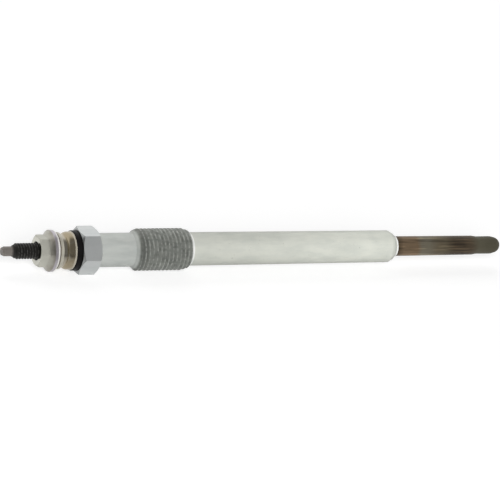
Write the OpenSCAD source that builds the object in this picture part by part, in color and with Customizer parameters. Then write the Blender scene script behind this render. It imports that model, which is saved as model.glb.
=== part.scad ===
// Diesel glow plug with a metal heater tube, an M10 body thread and an M4 terminal.
// It lies along X: the terminal points to -X and the heater tip to +X.
// The origin is on the plug's axis, where the shank ends and the sealing seat starts.
// One flat of the body's hexagon faces down.

/* [Body hexagon] */
// Width of the body's hexagon across its flats
hex_af = 10; // [9.4:0.1:12]
// Length of the hexagon
hex_len = 4.75; // [4.5:0.05:8]
// How far the front bevel cuts in from the corners
hex_bevel = 0.9; // [0.3:0.05:1.2]
// How far the back bevel cuts in from the corners
hex_back_bevel = 0.8; // [0.3:0.05:1.1]

/* [Body neck and thread] */
// Diameter of the plain neck between hexagon and thread
neck_d = 8.02; // [7.4:0.01:8.6]
// Length of the plain neck
neck_len = 9.2; // [4:0.05:12]
// Crest diameter of the M10 thread
thread_d = 9.95; // [9.4:0.01:10]
// Length of the thread with the cones at both ends
thread_len = 14.6; // [10:0.1:25]
// Length of the cone where the thread starts at the neck
thread_lead = 1.1; // [0.8:0.05:2]
// Length over which the last thread turns get lower
thread_taper = 1.5; // [0.5:0.05:2.5]
// Crest diameter of the last thread turn
thread_last_d = 9.1; // [8.3:0.05:9.3]

/* [Shank and seat] */
// Diameter of the shank next to the thread
shank_top_d = 7.9; // [7.6:0.01:8.2]
// Diameter of the shank at the sealing seat
shank_end_d = 7.55; // [7.2:0.01:8]
// Length of the shank from the thread to the seat
shank_len = 51.5; // [30:0.1:80]
// Length of the sealing seat
seat_len = 1; // [0.6:0.1:1.4]
// Half angle of the sealing seat
seat_angle = 30; // [20:1:38]
// Wall of the lip that holds the heater tube
lip_wall = 0.15; // [0.1:0.05:0.4]
// Length of that lip
lip_len = 0.3; // [0.3:0.1:1.5]

/* [Body bore] */
// Diameter of the bore that takes the seal ring
seal_bore_d = 6.3; // [5.8:0.1:6.8]
// Air between the centre pole and the body, on each side
pole_air = 0.5; // [0.3:0.05:0.7]

/* [Heater tube] */
// Outer diameter of the heater tube at the body
sheath_d = 4.7; // [4.5:0.05:5]
// Outer diameter of the heater tube at its shoulder
sheath_end_d = 4.52; // [4.44:0.02:4.9]
// Outer diameter of the swaged tip
tip_d = 4.16; // [3.9:0.02:4.4]
// Wall of the heater tube
sheath_wall = 0.6; // [0.4:0.05:0.7]
// Length of the heater tube that the body holds
sheath_grip = 22; // [14:1:28]
// Length of the heater tube outside the body
sheath_reach = 27.5; // [24:0.05:34]
// Length of the swaged tip with its shoulder
tip_len = 7.35; // [6:0.05:9]
// Length of the shoulder between tube and tip
shoulder_len = 1.15; // [0.6:0.05:2]
// Length of the slight cone before the round end
tip_cone_len = 1; // [0.4:0.1:1.5]
// How far that cone closes in, on the radius
tip_cone_in = 0.25; // [0.1:0.05:0.4]
// Thickness of the closed end
tip_floor = 1.9; // [1.4:0.1:2.6]

/* [Heater inside] */
// Mean diameter of both coils
coil_d = 1.9; // [1.7:0.05:2.1]
// Wire diameter of the control coil
control_wire = 0.35; // [0.2:0.01:0.4]
// Pitch of the control coil
control_pitch = 0.85; // [0.7:0.05:1.2]
// Length of the control coil
control_len = 12; // [8:0.5:14]
// Wire diameter of the heating coil
heating_wire = 0.32; // [0.2:0.01:0.4]
// Pitch of the heating coil
heating_pitch = 0.7; // [0.6:0.05:1.2]
// Straight length of wire where the coils are joined and at the tip
wire_tail = 0.5; // [0.3:0.1:0.8]
// Length of the rubber stopper in the mouth of the heater tube
stopper_len = 2.5; // [1.5:0.1:4]
// Thickness of the magnesia below the heating coil
fill_floor = 0.6; // [0.3:0.1:1]

/* [Centre pole] */
// Diameter of the pilot at the end of the terminal
pilot_d = 2.32; // [1.8:0.02:2.8]
// Length of the pilot
pilot_len = 2.4; // [1.5:0.1:4]
// Bevel at the end of the pilot, on the radius
pilot_bevel = 0.3; // [0.1:0.05:0.5]
// Crest diameter of the M4 thread
stud_d = 3.8; // [3.7:0.01:4]
// Length of the cone from pilot to thread
stud_cone_len = 1.2; // [0.6:0.05:2]
// Length of the terminal beyond the flange nut
stud_free = 8.75; // [6:0.05:14]
// Diameter of the rod inside the body
pole_d = 3.2; // [2.8:0.05:3.4]
// Diameter of the rod's end inside the heater tube
pole_end_d = 2; // [1.9:0.05:2.2]
// How far the rod's end lies past the end of the body
pole_past = 1.7; // [-3:0.1:4]
// Length of the spigot that carries the control coil
spigot_len = 1.8; // [1:0.1:2.5]
// Distance from the rod's cone to the mouth of the heater tube
pole_setback = 1; // [0.5:0.1:3]

/* [Terminal stack] */
// Width of the flange nut across its flats
nut_af = 6.9; // [6.4:0.05:7]
// Height of the flange nut
nut_h = 4.35; // [3.8:0.05:6]
// Turn of the nut about the axis, 0 where its flats are in line with those of the body
nut_turn = -9; // [-30:1:30]
// How far the front bevel of the nut cuts in from the corners
nut_bevel = 0.72; // [0.3:0.02:0.9]
// Diameter of the nut's flange
flange_d = 9.85; // [9:0.01:10.4]
// Height of the flange with its cone
flange_h = 2.2; // [1.8:0.05:2.8]
// Height of the flange's rim
rim_h = 1.25; // [0.8:0.05:1.4]
// Rounding at the back of the rim
rim_round = 0.5; // [0.2:0.05:0.6]
// Diameter of the flat washer
washer_d = 8.75; // [8.4:0.05:10]
// Thickness of the flat washer
washer_h = 1.1; // [0.6:0.05:1.6]
// Edge bevel of the flat washer
washer_bevel = 0.12; // [0.05:0.01:0.25]
// Diameter of the round nut's collar
collar_d = 7.6; // [7:0.05:8.4]
// Length of the round nut's collar
collar_len = 0.95; // [0.6:0.05:1.2]
// Diameter of the round nut
round_nut_d = 8.9; // [8.6:0.02:9.4]
// Rounding of the round nut's shoulder
round_nut_round = 1.2; // [0.9:0.05:1.4]
// Height of the round nut
round_nut_h = 3.2; // [2.9:0.05:5]
// How far the round nut's back rim stands out
back_rim_out = 0.12; // [0.05:0.01:0.3]
// Width of that rim
back_rim_len = 0.4; // [0.2:0.01:0.6]
// Diameter of the insulating washer
insulator_d = 9.45; // [9:0.05:10]
// Thickness of the insulating washer
insulator_h = 1.4; // [1:0.05:3]
// Edge bevel of the insulating washer
insulator_bevel = 0.15; // [0.05:0.01:0.3]
// Length of the washer's sleeve inside the body
sleeve_len = 1.6; // [1:0.1:2.4]

/* [Fits] */
// Gap of a close fit, on each side
fit_gap = 0.02; // [0.01:0.01:0.04]
// Gap between the M4 thread and what sits on it, on each side
thread_gap = 0.05; // [0.02:0.01:0.1]

/* [Hidden] */
$fn = 96;

// How far a cutter reaches past the face that it opens
over = 1;
// How far a turned outline stands outside the hexagon that it trims
trim_over = 0.2;
// Slope of the hexagon bevels, measured from the end face
bevel_angle = 30;

// Radii
hex_corner_r = hex_af / 2 / cos(30);
neck_r = neck_d / 2;
shank_end_r = shank_end_d / 2;
seat_end_r = shank_end_r - seat_len * tan(seat_angle);
sheath_r = sheath_d / 2;
sheath_in_r = sheath_r - sheath_wall;
tip_in_r = tip_d / 2 - sheath_wall;
lip_r = sheath_r + fit_gap + lip_wall;
seal_bore_r = seal_bore_d / 2;
pole_r = pole_d / 2;
pole_end_r = pole_end_d / 2;
pole_bore_r = pole_r + pole_air;
stud_r = stud_d / 2;
stud_hole_r = stud_r + thread_gap;
nut_corner_r = nut_af / 2 / cos(30);
flange_r = flange_d / 2;
round_nut_r = round_nut_d / 2;
seal_ring_r = (seal_bore_r - stud_r) / 2 - fit_gap;
coil_r = coil_d / 2;
widest_wire_r = max(control_wire, heating_wire) / 2;

// Each turn of a coil is drawn in straight steps, which come nearer the axis half way along
wire_sides = 8;
turn_steps = 12;
coil_near_r = coil_r * cos(180 / turn_steps);
channel_in_r = coil_near_r - widest_wire_r - fit_gap;
channel_out_r = coil_r + widest_wire_r + fit_gap;
spigot_r = coil_near_r - control_wire / 2 - fit_gap;

// Places along X, from the seat back to the terminal
thread_end_x = -shank_len;
thread_start_x = thread_end_x - thread_len;
neck_start_x = thread_start_x - neck_len;
hex_front_x = neck_start_x - hex_len;
insulator_x = hex_front_x - insulator_h;
round_nut_x = insulator_x - round_nut_h;
washer_x = round_nut_x - washer_h;
nut_x = washer_x - nut_h;
terminal_x = nut_x - stud_free;
sleeve_end_x = hex_front_x + sleeve_len;
seal_bore_end_x = sleeve_end_x + 2 * seal_ring_r + 2 * fit_gap;

// Places along X, from the seat on to the heater tip
nose_x = seat_len + (seat_end_r - lip_r) + lip_len;
tip_x = nose_x + sheath_reach;
shoulder_x = tip_x - tip_len;
mouth_x = -sheath_grip;
floor_x = tip_x - tip_floor;
stopper_end_x = mouth_x + stopper_len;
pole_end_x = nose_x + pole_past;
spigot_x = pole_end_x - spigot_len;
coil_joint_x = spigot_x + control_len;
channel_end_x = floor_x - fill_floor;

// The round end of the tip touches its cone
tip_cone_angle = atan(tip_cone_in / tip_cone_len);
tip_ball_r = (tip_d / 2 - tip_cone_in) / cos(tip_cone_angle);
tip_ball_x = tip_x - tip_ball_r;
tip_cone_end_x = tip_ball_x + tip_ball_r * sin(tip_cone_angle);
tip_cone_x = tip_cone_end_x - tip_cone_len;

// A profile of [radius, place along X] points, or any flat shape, turned about the X axis
module turned() {
    rotate([0, 90, 0])
        rotate_extrude()
            children();
}

// A hexagonal bar along X with one flat facing down, or turned about X from there
module hexagon_bar(corner_r, from_x, to_x, turn = 0) {
    translate([from_x, 0, 0])
        rotate([turn, 0, 0])
            rotate([0, 90, 0])
                rotate([0, 0, 30])
                    cylinder(r = corner_r, h = to_x - from_x, $fn = 6);
}

// A quarter of a disc, drawn as a flat section: side is 1 towards +X or -1 towards -X
module quarter_disc(centre_r, centre_x, r, side) {
    translate([centre_r, centre_x])
        intersection() {
            circle(r = r);
            translate([0, side > 0 ? 0 : -r])
                square(r);
        }
}

// A ring with a bevel on each of its four edges, drawn as a flat half section
module bevelled_ring(hole_r, outer_r, from_x, to_x, bevel) {
    polygon([
        [hole_r + bevel, from_x],
        [outer_r - bevel, from_x],
        [outer_r, from_x + bevel],
        [outer_r, to_x - bevel],
        [outer_r - bevel, to_x],
        [hole_r + bevel, to_x],
        [hole_r, to_x - bevel],
        [hole_r, from_x + bevel]
    ]);
}

// A wire that follows points given as [place along X, angle about X] at the coils' radius
function unit(v) = v / norm(v);
function outwards(angle) = [0, cos(angle), sin(angle)];
function wire_point(p) = [p[0], 0, 0] + coil_r * outwards(p[1]);
function wire_heading(route, i) =
    unit(wire_point(route[min(i + 1, len(route) - 1)]) - wire_point(route[max(i - 1, 0)]));
function wire_ring(route, i, wire_r) =
    let (
        heading = wire_heading(route, i),
        out = outwards(route[i][1]),
        side_a = unit(out - (out * heading) * heading),
        side_b = cross(heading, side_a)
    )
    [
        for (k = [0 : wire_sides - 1])
            let (turn = 360 * k / wire_sides)
            wire_point(route[i]) + wire_r * (cos(turn) * side_a + sin(turn) * side_b)
    ];

module wire(route, wire_r) {
    last = len(route) - 1;
    rings = [for (i = [0 : last]) each wire_ring(route, i, wire_r)];
    side_faces = [
        for (i = [0 : last - 1], k = [0 : wire_sides - 1])
            let (
                here = i * wire_sides,
                there = here + wire_sides,
                next_k = (k + 1) % wire_sides
            )
            each [
                [here + k, there + k, there + next_k],
                [here + k, there + next_k, here + next_k]
            ]
    ];
    start_face = [for (k = [0 : wire_sides - 1]) k];
    end_face = [for (k = [wire_sides - 1 : -1 : 0]) last * wire_sides + k];
    polyhedron(rings, concat([start_face, end_face], side_faces));
}

// The turns of a coil between two places, a whole number of them near the wanted pitch
function coil_turns(from_x, to_x, pitch) =
    let (
        turns = round((to_x - from_x) / pitch),
        steps = turns * turn_steps
    )
    [for (i = [0 : steps]) [from_x + (to_x - from_x) * i / steps, 360 * i / turn_steps]];

// Steel housing: hexagon, neck, thread, shank and sealing seat, bored right through
module body_hexagon() {
    reach_r = hex_corner_r + trim_over;
    face_r = hex_corner_r - hex_bevel;
    back_r = hex_corner_r - hex_back_bevel;
    intersection() {
        hexagon_bar(hex_corner_r, hex_front_x, neck_start_x);
        turned()
            polygon([
                [0, hex_front_x],
                [face_r, hex_front_x],
                [reach_r, hex_front_x + (reach_r - face_r) * tan(bevel_angle)],
                [reach_r, neck_start_x - (reach_r - back_r) * tan(bevel_angle)],
                [back_r, neck_start_x],
                [0, neck_start_x]
            ]);
    }
}

module body_outline() {
    thread_r = thread_d / 2;
    last_r = thread_last_d / 2;
    shank_top_r = shank_top_d / 2;
    end_cone_x = thread_end_x - (last_r - shank_top_r);
    polygon([
        [0, hex_front_x],
        [neck_r, hex_front_x],
        [neck_r, thread_start_x],
        [thread_r, thread_start_x + thread_lead],
        [thread_r, end_cone_x - thread_taper],
        [last_r, end_cone_x],
        [shank_top_r, thread_end_x],
        [shank_end_r, 0],
        [seat_end_r, seat_len],
        [lip_r, nose_x - lip_len],
        [lip_r, nose_x],
        [0, nose_x]
    ]);
}

module body_bore() {
    grip_r = sheath_r + fit_gap;
    polygon([
        [0, hex_front_x - over],
        [seal_bore_r, hex_front_x - over],
        [seal_bore_r, seal_bore_end_x],
        [pole_bore_r, seal_bore_end_x],
        [pole_bore_r, mouth_x],
        [grip_r, mouth_x],
        [grip_r, nose_x + over],
        [0, nose_x + over]
    ]);
}

module body() {
    color("#c6c9c5")
        difference() {
            union() {
                body_hexagon();
                turned()
                    body_outline();
            }
            turned()
                body_bore();
        }
}

// Heater tube of heat-proof alloy, swaged to a smaller tip and closed at the end
module heater_tube_outline() {
    sheath_end_r = sheath_end_d / 2;
    tip_r = tip_d / 2;
    polygon([
        [0, mouth_x],
        [sheath_r, mouth_x],
        [sheath_r, nose_x],
        [sheath_end_r, shoulder_x],
        [tip_r, shoulder_x + shoulder_len],
        [tip_r, tip_cone_x],
        [tip_r - tip_cone_in, tip_cone_end_x],
        [0, tip_cone_end_x]
    ]);
    quarter_disc(0, tip_ball_x, tip_ball_r, 1);
}

module heater_tube_space(clearance) {
    wide_r = sheath_in_r - clearance;
    narrow_r = tip_in_r - clearance;
    polygon([
        [0, mouth_x - over],
        [wide_r, mouth_x - over],
        [wide_r, shoulder_x],
        [narrow_r, shoulder_x + shoulder_len],
        [narrow_r, floor_x],
        [0, floor_x]
    ]);
}

module heater_tube() {
    color("#5a4a3c")
        difference() {
            turned()
                heater_tube_outline();
            turned()
                heater_tube_space(0);
        }
}

// Pressed magnesia that fills the heater tube and carries the coils in a round channel
module magnesia_outline() {
    intersection() {
        heater_tube_space(fit_gap);
        translate([0, stopper_end_x])
            square([sheath_r, floor_x - stopper_end_x]);
    }
}

module magnesia_space() {
    hole_r = pole_end_r + fit_gap;
    polygon([
        [0, stopper_end_x - over],
        [hole_r, stopper_end_x - over],
        [hole_r, spigot_x],
        [channel_out_r, spigot_x],
        [channel_out_r, channel_end_x],
        [channel_in_r, channel_end_x],
        [channel_in_r, pole_end_x + fit_gap],
        [0, pole_end_x + fit_gap]
    ]);
}

module magnesia_fill() {
    tail_hole_r = heating_wire / 2 + fit_gap;
    color("#e6e2d8")
        difference() {
            turned()
                magnesia_outline();
            turned()
                magnesia_space();
            translate([channel_end_x - wire_tail, coil_r, 0])
                rotate([0, 90, 0])
                    cylinder(r = tail_hole_r, h = wire_tail + fill_floor + over);
        }
}

// Control coil: wound on the pole's spigot, with a straight end that meets the heating coil
module control_coil() {
    turns_start_x = spigot_x + control_wire / 2 + fit_gap;
    turns_end_x = coil_joint_x - wire_tail;
    color("#9a8f86")
        wire(
            concat(
                coil_turns(turns_start_x, turns_end_x, control_pitch),
                [[coil_joint_x, 0]]
            ),
            control_wire / 2
        );
}

// Heating coil: a straight start, close turns, and a straight end welded to the closed tip
module heating_coil() {
    turns_start_x = coil_joint_x + wire_tail;
    turns_end_x = channel_end_x - wire_tail;
    color("#8d8078")
        wire(
            concat(
                [[coil_joint_x, 0]],
                coil_turns(turns_start_x, turns_end_x, heating_pitch),
                [[floor_x, 0]]
            ),
            heating_wire / 2
        );
}

// Rubber stopper between the pole and the mouth of the heater tube
module tube_stopper() {
    color("#2b2a29")
        turned()
            translate([pole_end_r + fit_gap, mouth_x])
                square([sheath_in_r - pole_end_r - 2 * fit_gap, stopper_len]);
}

// Centre pole: pilot, M4 end and rod, turned from one bar
module centre_pole() {
    pilot_r = pilot_d / 2;
    thread_x = terminal_x + pilot_len + stud_cone_len;
    rod_x = seal_bore_end_x + (stud_r - pole_r);
    rod_end_x = mouth_x - pole_setback;
    color("#3c3b39")
        turned()
            polygon([
                [0, terminal_x],
                [pilot_r - pilot_bevel, terminal_x],
                [pilot_r, terminal_x + 2 * pilot_bevel],
                [pilot_r, terminal_x + pilot_len],
                [stud_r, thread_x],
                [stud_r, seal_bore_end_x],
                [pole_r, rod_x],
                [pole_r, rod_end_x - (pole_r - pole_end_r)],
                [pole_end_r, rod_end_x],
                [pole_end_r, spigot_x],
                [spigot_r, spigot_x],
                [spigot_r, pole_end_x],
                [0, pole_end_x]
            ]);
}

// Rubber seal ring between the pole and the body
module seal_ring() {
    color("#1f1f1f")
        turned()
            translate([stud_r + fit_gap + seal_ring_r, sleeve_end_x + fit_gap + seal_ring_r])
                circle(r = seal_ring_r);
}

// Black insulating washer with a sleeve that centres the pole in the body
module insulating_washer() {
    sleeve_r = seal_bore_r - fit_gap;
    color("#1b1b1b")
        turned() {
            bevelled_ring(stud_hole_r, insulator_d / 2, insulator_x, hex_front_x, insulator_bevel);
            translate([stud_hole_r, hex_front_x - insulator_h / 2])
                square([sleeve_r - stud_hole_r, insulator_h / 2 + sleeve_len]);
        }
}

// Round nut: a collar, a rounded shoulder and a thin rim at the back
module round_nut_outline() {
    shoulder_end_x = round_nut_x + collar_len + round_nut_round;
    polygon([
        [0, round_nut_x],
        [collar_d / 2, round_nut_x],
        [collar_d / 2, shoulder_end_x],
        [round_nut_r, shoulder_end_x],
        [round_nut_r, insulator_x - back_rim_len],
        [round_nut_r + back_rim_out, insulator_x - back_rim_len + back_rim_out],
        [round_nut_r + back_rim_out, insulator_x],
        [0, insulator_x]
    ]);
    quarter_disc(round_nut_r - round_nut_round, shoulder_end_x, round_nut_round, -1);
}

module round_nut() {
    color("#a39a86")
        turned()
            difference() {
                round_nut_outline();
                translate([0, round_nut_x - over])
                    square([stud_hole_r, round_nut_h + 2 * over]);
            }
}

// Flat washer under the flange nut
module flat_washer() {
    color("#b4b2b4")
        turned()
            bevelled_ring(stud_hole_r, washer_d / 2, washer_x, round_nut_x, washer_bevel);
}

// Flange nut: a bevelled hexagon on a coned flange with a rounded rim
module flange_nut_hexagon() {
    reach_r = nut_corner_r + trim_over;
    face_r = nut_corner_r - nut_bevel;
    intersection() {
        hexagon_bar(nut_corner_r, nut_x, washer_x, nut_turn);
        turned()
            polygon([
                [0, nut_x],
                [face_r, nut_x],
                [reach_r, nut_x + (reach_r - face_r) * tan(bevel_angle)],
                [reach_r, washer_x - rim_h],
                [0, washer_x - rim_h]
            ]);
    }
}

module flange_outline() {
    core_r = nut_af / 2;
    polygon([
        [0, washer_x - flange_h],
        [core_r, washer_x - flange_h],
        [flange_r, washer_x - rim_h],
        [flange_r, washer_x - rim_round],
        [flange_r - rim_round, washer_x - rim_round],
        [flange_r - rim_round, washer_x],
        [0, washer_x]
    ]);
    quarter_disc(flange_r - rim_round, washer_x - rim_round, rim_round, 1);
}

module flange_nut() {
    color("#b9b8ad")
        difference() {
            union() {
                flange_nut_hexagon();
                turned()
                    flange_outline();
            }
            turned()
                translate([0, nut_x - over])
                    square([stud_hole_r, nut_h + 2 * over]);
        }
}

body();
heater_tube();
magnesia_fill();
control_coil();
heating_coil();
tube_stopper();
centre_pole();
seal_ring();
insulating_washer();
round_nut();
flat_washer();
flange_nut();
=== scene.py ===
"""Looks of a diesel glow plug: turned and threaded pieces, their finishes and a small studio.

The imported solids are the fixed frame. Each piece that shows is modelled again over its solid, with
real helical threads and softened edges. The pieces inside keep their solids and get a finish.
"""

import math
from collections import namedtuple

import bmesh
import bpy
from bpy.props import FloatProperty, FloatVectorProperty, PointerProperty
from mathutils import Matrix, Vector


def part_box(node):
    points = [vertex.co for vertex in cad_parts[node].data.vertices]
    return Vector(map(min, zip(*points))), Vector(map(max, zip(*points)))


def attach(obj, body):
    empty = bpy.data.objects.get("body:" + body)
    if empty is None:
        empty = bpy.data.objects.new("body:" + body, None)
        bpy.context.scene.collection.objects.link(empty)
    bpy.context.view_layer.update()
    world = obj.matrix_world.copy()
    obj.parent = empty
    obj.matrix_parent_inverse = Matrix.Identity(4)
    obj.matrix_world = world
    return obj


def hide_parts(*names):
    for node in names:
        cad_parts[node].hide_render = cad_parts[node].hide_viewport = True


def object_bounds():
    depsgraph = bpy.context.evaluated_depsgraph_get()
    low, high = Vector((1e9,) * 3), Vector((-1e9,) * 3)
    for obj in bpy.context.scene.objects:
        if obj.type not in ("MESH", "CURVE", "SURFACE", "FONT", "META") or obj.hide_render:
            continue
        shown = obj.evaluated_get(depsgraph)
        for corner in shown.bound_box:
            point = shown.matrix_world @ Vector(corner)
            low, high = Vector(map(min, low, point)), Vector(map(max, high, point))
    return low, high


bl_info = {
    "name": "Diesel Glow Plug",
    "version": (1, 0, 0),
    "blender": (4, 5, 0),
    "location": "View3D > Sidebar > Glow Plug",
    "description": "Models the pieces of a diesel glow plug over its solids and lights them",
    "category": "Object",
}

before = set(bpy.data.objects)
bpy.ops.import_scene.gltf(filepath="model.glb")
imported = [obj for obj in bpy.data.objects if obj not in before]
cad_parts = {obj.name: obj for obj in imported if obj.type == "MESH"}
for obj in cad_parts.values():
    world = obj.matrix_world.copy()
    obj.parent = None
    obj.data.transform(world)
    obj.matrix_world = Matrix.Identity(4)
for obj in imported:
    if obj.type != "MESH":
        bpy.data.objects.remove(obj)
CAD_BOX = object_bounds()

MM = 0.001
ROOT = "root"

# Steps round the axis, a whole number for each side of a hexagon
BODY_SIDES = 96
STUD_SIDES = 72
# Steps along one pitch of a thread
THREAD_STEPS = 12
# Part of a pitch that is flat at the root
ROOT_SHARE = 0.3
# Turns of a thread beyond each end, before it is cut to length
SPARE_TURNS = 2
# Part of the radius that the tip's inner floor leaves open, for the fill to close
OPEN_SHARE = 0.05
# Degrees at which the round tip stops short of the axis, for the fill to close
ROUND_STOP = 88.0
# Vertices nearer than this are one
MERGE = 1e-6
# Edges sharper than this are softened
SOFT_ANGLE = math.radians(24)
# Faces that meet at less than this are shaded as one
SMOOTH_ANGLE = math.radians(35)
HEX_SECTOR = math.radians(60)
BEVEL_SLOPE = math.tan(math.radians(30))

# Cells of noise for each metre along X, Y and Z
PLATING_CLOUDS = (110.0, 260.0, 260.0)
NECK_BLOTCHES = (260.0, 900.0, 900.0)
CREST_WEAR = (420.0, 1500.0, 1500.0)
TUBE_STREAKS = (110.0, 2300.0, 2300.0)
# Cells of a turning mark for each metre across the axis
MARK_CELLS = 120.0
# Height of the bumps on turned, coated and streaked metal, in metres
TURNED_BUMP = 0.000004
COATED_BUMP = 0.000005
STREAKED_BUMP = 0.000006

WHITE = (1.0, 1.0, 1.0, 1.0)
# Paper of the floor, and the same as bright metal mirrors it from in front of the plug
PAPER = (0.5, 0.5, 0.5, 1.0)
DIM_PAPER = (0.2, 0.2, 0.2, 1.0)
# Glow of the floor to the camera, how much it gains far behind, and its glow in bright metal
FLOOR_GLOW = 0.635
FAR_GAIN = 0.04
MIRRORED_GLOW = 0.62
# Places on the floor in metres: where its front ends and it gains along Y, and where it fades along X
FRONT_Y = (-0.03, 0.01)
GAIN_Y = (-0.05, 0.17)
FADE_X = (-0.5, -0.16)
# Where the lights stand from the plug's middle, and how wide they are, in metres
KEY_PLACE = Vector((-0.20, -0.80, 0.39))
KEY_WIDTH = 0.5
BACK_PLACE = Vector((0.10, 0.70, 0.60))
BACK_WIDTH = 0.7
# The dim room on the camera's side: where it lies, how dark it is, and how dark it is past the terminal
ROOM_SIDE = Vector((0.30, -0.82, 0.45)).normalized()
ROOM_DARK = 0.77
END_DARK = 0.8
# Cosines over which the room, the light past the tip and the dark past the terminal set in
ROOM_EDGE = (-0.05, 0.5)
TIP_EDGE = (0.6, 0.85)
END_EDGE = (-0.95, -0.72)
# Light that the surroundings give to dull surfaces
FILL_LIGHT = 0.12
# Width of the camera's sensor in millimetres, and what it sees from and to, in metres
SENSOR_WIDTH = 36.0
SEEN_FROM = 0.01
SEEN_TO = 100.0

# What a thread is cut with: crest_share is the part of a pitch that the crest takes
Tooth = namedtuple("Tooth", "pitch crest_r depth crest_share")


def first_x(node):
    """Where a solid starts along X."""
    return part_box(node)[0].x


def last_x(node):
    """Where a solid ends along X."""
    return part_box(node)[1].x


def reach(node):
    """How far a solid stands out from the axis, measured upwards."""
    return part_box(node)[1].z


# Sizes and colours


def length(name, description, mm):
    """A length in the sidebar, written in millimetres and kept in metres."""
    return FloatProperty(
        name=name, description=description, default=mm * MM, precision=5, subtype="DISTANCE", unit="LENGTH"
    )


def colour(name, description, rgb):
    """A colour in the sidebar, in linear light."""
    return FloatVectorProperty(
        name=name, description=description, default=rgb, size=3, min=0.0, max=1.0, subtype="COLOR"
    )


def share(name, description, part):
    """A part of a whole in the sidebar."""
    return FloatProperty(
        name=name, description=description, default=part, min=0.0, max=1.0, subtype="FACTOR"
    )


def angle(name, description, degrees):
    """An angle in the sidebar, written in degrees."""
    return FloatProperty(name=name, description=description, default=math.radians(degrees), subtype="ANGLE")


def power(name, description, watts):
    """The power of a light in the sidebar."""
    return FloatProperty(name=name, description=description, default=watts, min=0.0, unit="POWER")


class BodySizes(bpy.types.PropertyGroup):
    """Sizes of the steel housing"""

    hex_len: length("Hexagon length", "Length of the hexagon", 4.75)
    hex_bevel: length("Hexagon bevel", "How far the front bevel cuts in from the corners", 0.9)
    hex_back_bevel: length("Hexagon back bevel", "How far the back bevel cuts in from the corners", 0.8)
    neck_d: length("Neck diameter", "Diameter of the plain neck behind the hexagon", 8.02)
    neck_len: length("Neck length", "Length of the plain neck", 9.2)
    thread_d: length("Thread diameter", "Crest diameter of the body thread", 9.95)
    thread_pitch: length("Thread pitch", "Pitch of the body thread", 1.0)
    thread_depth: length("Thread depth", "Depth of the body thread", 0.17)
    thread_lead: length("Thread lead", "Length of the cone where the thread starts", 1.1)
    thread_taper: length("Thread taper", "Length over which the last turns get lower", 1.5)
    thread_last_d: length("Last turn", "Crest diameter of the last turn", 9.1)
    thread_crest: share("Thread crest", "Part of a pitch that the crest takes", 0.08)
    shank_len: length("Shank length", "Length from the thread to the sealing seat", 51.5)
    shank_top_d: length("Shank at the thread", "Diameter of the shank next to the thread", 7.9)
    shank_end_d: length("Shank at the seat", "Diameter of the shank at the seat", 7.55)
    seat_len: length("Seat length", "Length of the sealing seat", 1.0)
    seat_end_d: length("Seat end", "Diameter of the small end of the seat", 6.395)
    lip_d: length("Lip diameter", "Outer diameter of the lip round the heater tube", 5.04)
    lip_len: length("Lip length", "Length of that lip", 0.3)
    grip_d: length("Tube bore", "Diameter of the bore that holds the heater tube", 4.74)
    pole_bore_d: length("Pole bore", "Diameter of the bore round the centre pole", 4.2)
    seal_bore_d: length("Seal bore", "Diameter of the bore that takes the seal ring", 6.3)
    seal_bore_len: length("Seal bore depth", "Depth of that bore", 2.85)
    edge: length("Edge softening", "Width of the softened edges", 0.07)


class HeaterSizes(bpy.types.PropertyGroup):
    """Sizes of the heater tube"""

    wall: length("Wall", "Wall of the tube", 0.6)
    shoulder_d: length("Tube at the shoulder", "Diameter of the tube at its shoulder", 4.52)
    tip_d: length("Tip diameter", "Diameter of the swaged tip", 4.16)
    tip_len: length("Tip length", "Length of the swaged tip with its shoulder", 7.35)
    shoulder_len: length("Shoulder length", "Length of the shoulder", 1.15)
    cone_len: length("Tip cone", "Length of the slight cone before the round end", 1.0)
    cone_in: length("Tip cone depth", "How far that cone closes in, on the radius", 0.25)
    tip_floor: length("Tip floor", "Thickness of the closed end", 1.9)
    edge: length("Edge softening", "Width of the softened edges", 0.06)


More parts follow.
